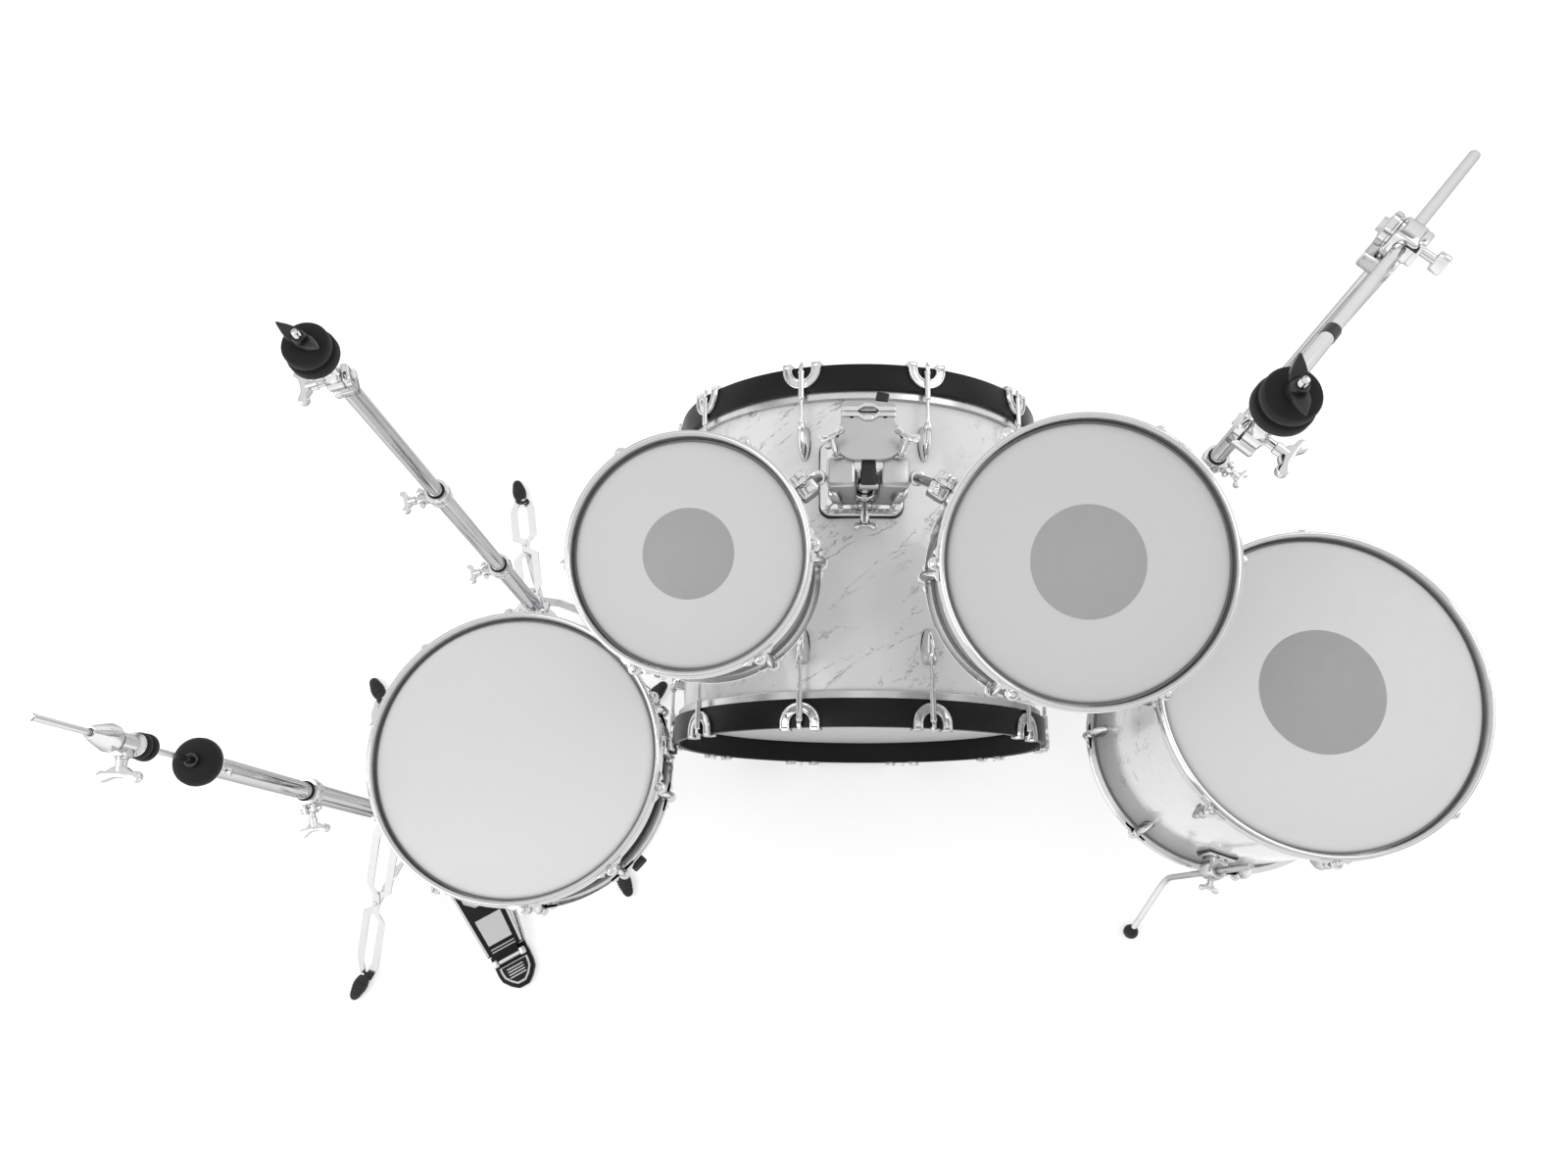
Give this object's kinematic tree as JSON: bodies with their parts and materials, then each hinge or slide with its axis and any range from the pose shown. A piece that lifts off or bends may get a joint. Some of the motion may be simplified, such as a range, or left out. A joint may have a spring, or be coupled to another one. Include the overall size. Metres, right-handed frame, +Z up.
{
  "type": "drum kit",
  "caption": "Five-piece drum kit: bass drum with spurs, two tilting rack toms on a holder, floor tom, snare on a basket stand, hi-hat stand with pedal, and straight and boom cymbal stands.",
  "frame": {"origin": "on the floor, under the middle of the kit's box", "axes": "+Z up, +Y towards the audience, +X to the drummer's right"},
  "size_m": [1.7978, 1.0914, 1.4238],
  "materials": {
    "drum_head": "coated white film",
    "bass_hoop": "black satin lacquer",
    "snare_shell": "polished plate",
    "wrapped_shell": "white marbled wrap, glossy",
    "felt": "pressed felt",
    "black_nut": "moulded black",
    "footboard": "cast, dark",
    "steel_wire": "drawn",
    "chrome": "polished plate"
  },
  "bodies": {
    "kit_base": {"bass_shell": "wrapped_shell", "bass_batter_head": "drum_head", "bass_front_head": "drum_head", "bass_batter_hoop": "bass_hoop", "bass_front_hoop": "bass_hoop", "tom_mount_base": "chrome", "floor_tom_shell": "wrapped_shell", "floor_tom_batter_head": "drum_head", "floor_tom_resonant_head": "drum_head", "floor_tom_batter_hoop": "chrome", "floor_tom_resonant_hoop": "chrome", "snare_stand_tripod": "chrome", "hi_hat_tripod": "chrome", "hi_hat_lower_tube": "chrome", "hi_hat_pedal_base": "chrome", "left_stand_tripod": "chrome", "boom_stand_tripod": "chrome"},
    "bass_spur_left": {"bass_spur_left": "chrome"},
    "bass_spur_right": {"bass_spur_right": "chrome"},
    "tom_holder": {"tom_holder": "chrome"},
    "small_tom": {"small_tom_arm": "chrome", "small_tom_shell": "wrapped_shell", "small_tom_batter_head": "drum_head", "small_tom_resonant_head": "drum_head", "small_tom_batter_hoop": "chrome", "small_tom_resonant_hoop": "chrome"},
    "large_tom": {"large_tom_arm": "chrome", "large_tom_shell": "wrapped_shell", "large_tom_batter_head": "drum_head", "large_tom_resonant_head": "drum_head", "large_tom_batter_hoop": "chrome", "large_tom_resonant_hoop": "chrome"},
    "floor_tom_leg_rear": {"floor_tom_leg_rear": "chrome"},
    "floor_tom_leg_right": {"floor_tom_leg_right": "chrome"},
    "floor_tom_leg_front": {"floor_tom_leg_front": "chrome"},
    "snare_stand_tube": {"snare_stand_tube": "chrome"},
    "snare_drum": {"snare_basket": "chrome", "snare_shell": "snare_shell", "snare_batter_head": "drum_head", "snare_resonant_head": "drum_head", "snare_batter_hoop": "chrome", "snare_resonant_hoop": "chrome", "snare_wires": "steel_wire"},
    "throw_off_lever": {"snare_throw_off_lever": "chrome"},
    "hi_hat_upper_tube": {"hi_hat_upper_tube": "chrome", "hi_hat_seat_felt": "felt"},
    "hi_hat_rod": {"hi_hat_pull_rod": "chrome", "hi_hat_clutch": "chrome"},
    "hi_hat_footboard": {"hi_hat_footboard": "footboard"},
    "left_stand_middle": {"left_stand_middle_tube": "chrome"},
    "left_stand_top": {"left_stand_top_tube": "chrome"},
    "left_stand_tilter": {"left_stand_tilter": "chrome", "left_stand_felts": "felt"},
    "left_stand_wing_nut": {"left_stand_wing_nut": "black_nut"},
    "boom_stand_middle": {"boom_stand_middle_tube": "chrome"},
    "boom_clamp": {"boom_stand_clamp": "chrome"},
    "boom_arm": {"boom_stand_arm": "chrome"},
    "boom_tilter": {"boom_stand_tilter": "chrome", "boom_stand_felts": "felt"},
    "boom_wing_nut": {"boom_stand_wing_nut": "black_nut"}
  },
  "joints": [
    {"name": "spur_right_fold", "type": "hinge", "parent": "kit_base", "child": "bass_spur_right", "pos_m": [0.2853, 0.25588, 0.21535], "axis": [0.9511, 0.0129, -0.3087], "range_deg": [0, 90]},
    {"name": "spur_left_fold", "type": "hinge", "parent": "kit_base", "child": "bass_spur_left", "pos_m": [-0.28495, 0.25588, 0.21535], "axis": [0.9511, -0.0129, 0.3087], "range_deg": [0, 90]},
    {"name": "tom_holder_height", "type": "slide", "parent": "kit_base", "child": "tom_holder", "axis": [0, 0, 1], "range_m": [0, 0.05]},
    {"name": "small_tom_tilt", "type": "hinge", "parent": "tom_holder", "child": "small_tom", "pos_m": [-0.06613, 0.16634, 0.71], "axis": [1, 0, 0], "range_deg": [-12, 4]},
    {"name": "large_tom_tilt", "type": "hinge", "parent": "tom_holder", "child": "large_tom", "pos_m": [0.06247, 0.16634, 0.71], "axis": [1, 0, 0], "range_deg": [-12, 2]},
    {"name": "floor_leg_rear_slide", "type": "slide", "parent": "kit_base", "child": "floor_tom_leg_rear", "axis": [0, 0, 1], "range_m": [-0.06, 0.08]},
    {"name": "floor_leg_right_slide", "type": "slide", "parent": "kit_base", "child": "floor_tom_leg_right", "axis": [0, 0, 1], "range_m": [-0.06, 0.08]},
    {"name": "floor_leg_front_slide", "type": "slide", "parent": "kit_base", "child": "floor_tom_leg_front", "axis": [0, 0, 1], "range_m": [-0.06, 0.05]},
    {"name": "snare_stand_height", "type": "slide", "parent": "kit_base", "child": "snare_stand_tube", "axis": [0, 0, 1], "range_m": [-0.06, 0.05]},
    {"name": "snare_tilt", "type": "hinge", "parent": "snare_stand_tube", "child": "snare_drum", "pos_m": [-0.45283, -0.20266, 0.462], "axis": [1, 0, 0], "range_deg": [-4, 10]},
    {"name": "throw_off_swing", "type": "hinge", "parent": "snare_drum", "child": "throw_off_lever", "pos_m": [-0.25948, -0.18063, 0.649], "axis": [0.1132, -0.9936, 0], "range_deg": [0, 80]},
    {"name": "hi_hat_height", "type": "slide", "parent": "kit_base", "child": "hi_hat_upper_tube", "axis": [0, 0, 1], "range_m": [-0.2, 0.04]},
    {"name": "pedal_press", "type": "hinge", "parent": "kit_base", "child": "hi_hat_footboard", "pos_m": [-0.59506, -0.46482, 0.024], "axis": [-0.8746, -0.4848, 0], "range_deg": [0, 8], "stiffness_Nm_per_rad": 6, "springref_deg": -34.38},
    {"name": "pull_rod_slide", "type": "slide", "parent": "kit_base", "child": "hi_hat_rod", "axis": [0, 0, 1], "range_m": [-0.034, 0]},
    {"name": "left_stand_middle_slide", "type": "slide", "parent": "kit_base", "child": "left_stand_middle", "axis": [0, 0, 1], "range_m": [-0.15, 0.06]},
    {"name": "left_stand_top_slide", "type": "slide", "parent": "left_stand_middle", "child": "left_stand_top", "axis": [0, 0, 1], "range_m": [-0.2, 0.06]},
    {"name": "left_stand_tilt", "type": "hinge", "parent": "left_stand_top", "child": "left_stand_tilter", "pos_m": [-0.55063, 0.11096, 1.137], "axis": [-0.9613, -0.2756, 0], "range_deg": [-60, 60]},
    {"name": "left_wing_nut_turn", "type": "hinge", "parent": "left_stand_tilter", "child": "left_stand_wing_nut", "pos_m": [-0.55063, 0.11096, 1.22], "axis": [0, 0, 1], "continuous": true},
    {"name": "boom_stand_middle_slide", "type": "slide", "parent": "kit_base", "child": "boom_stand_middle", "axis": [0, 0, 1], "range_m": [-0.1, 0.06]},
    {"name": "boom_tilt", "type": "hinge", "parent": "boom_stand_middle", "child": "boom_clamp", "pos_m": [0.48577, 0.22524, 1.204], "axis": [-0.7615, 0.6481, 0], "range_deg": [-20, 35]},
    {"name": "boom_arm_slide", "type": "slide", "parent": "boom_clamp", "child": "boom_arm", "axis": [-0.609, -0.7156, 0.342], "range_m": [-0.1, 0.12]},
    {"name": "boom_tilter_tilt", "type": "hinge", "parent": "boom_arm", "child": "boom_tilter", "pos_m": [0.28434, -0.01917, 1.31926], "axis": [0.7615, -0.6481, 0], "range_deg": [-60, 60]},
    {"name": "boom_wing_nut_turn", "type": "hinge", "parent": "boom_tilter", "child": "boom_wing_nut", "pos_m": [0.28434, -0.01917, 1.40226], "axis": [0, 0, 1], "continuous": true}
  ],
  "couplings": [
    {"joint": "pull_rod_slide", "follows": "pedal_press", "m_per_rad": -0.24}
  ]
}
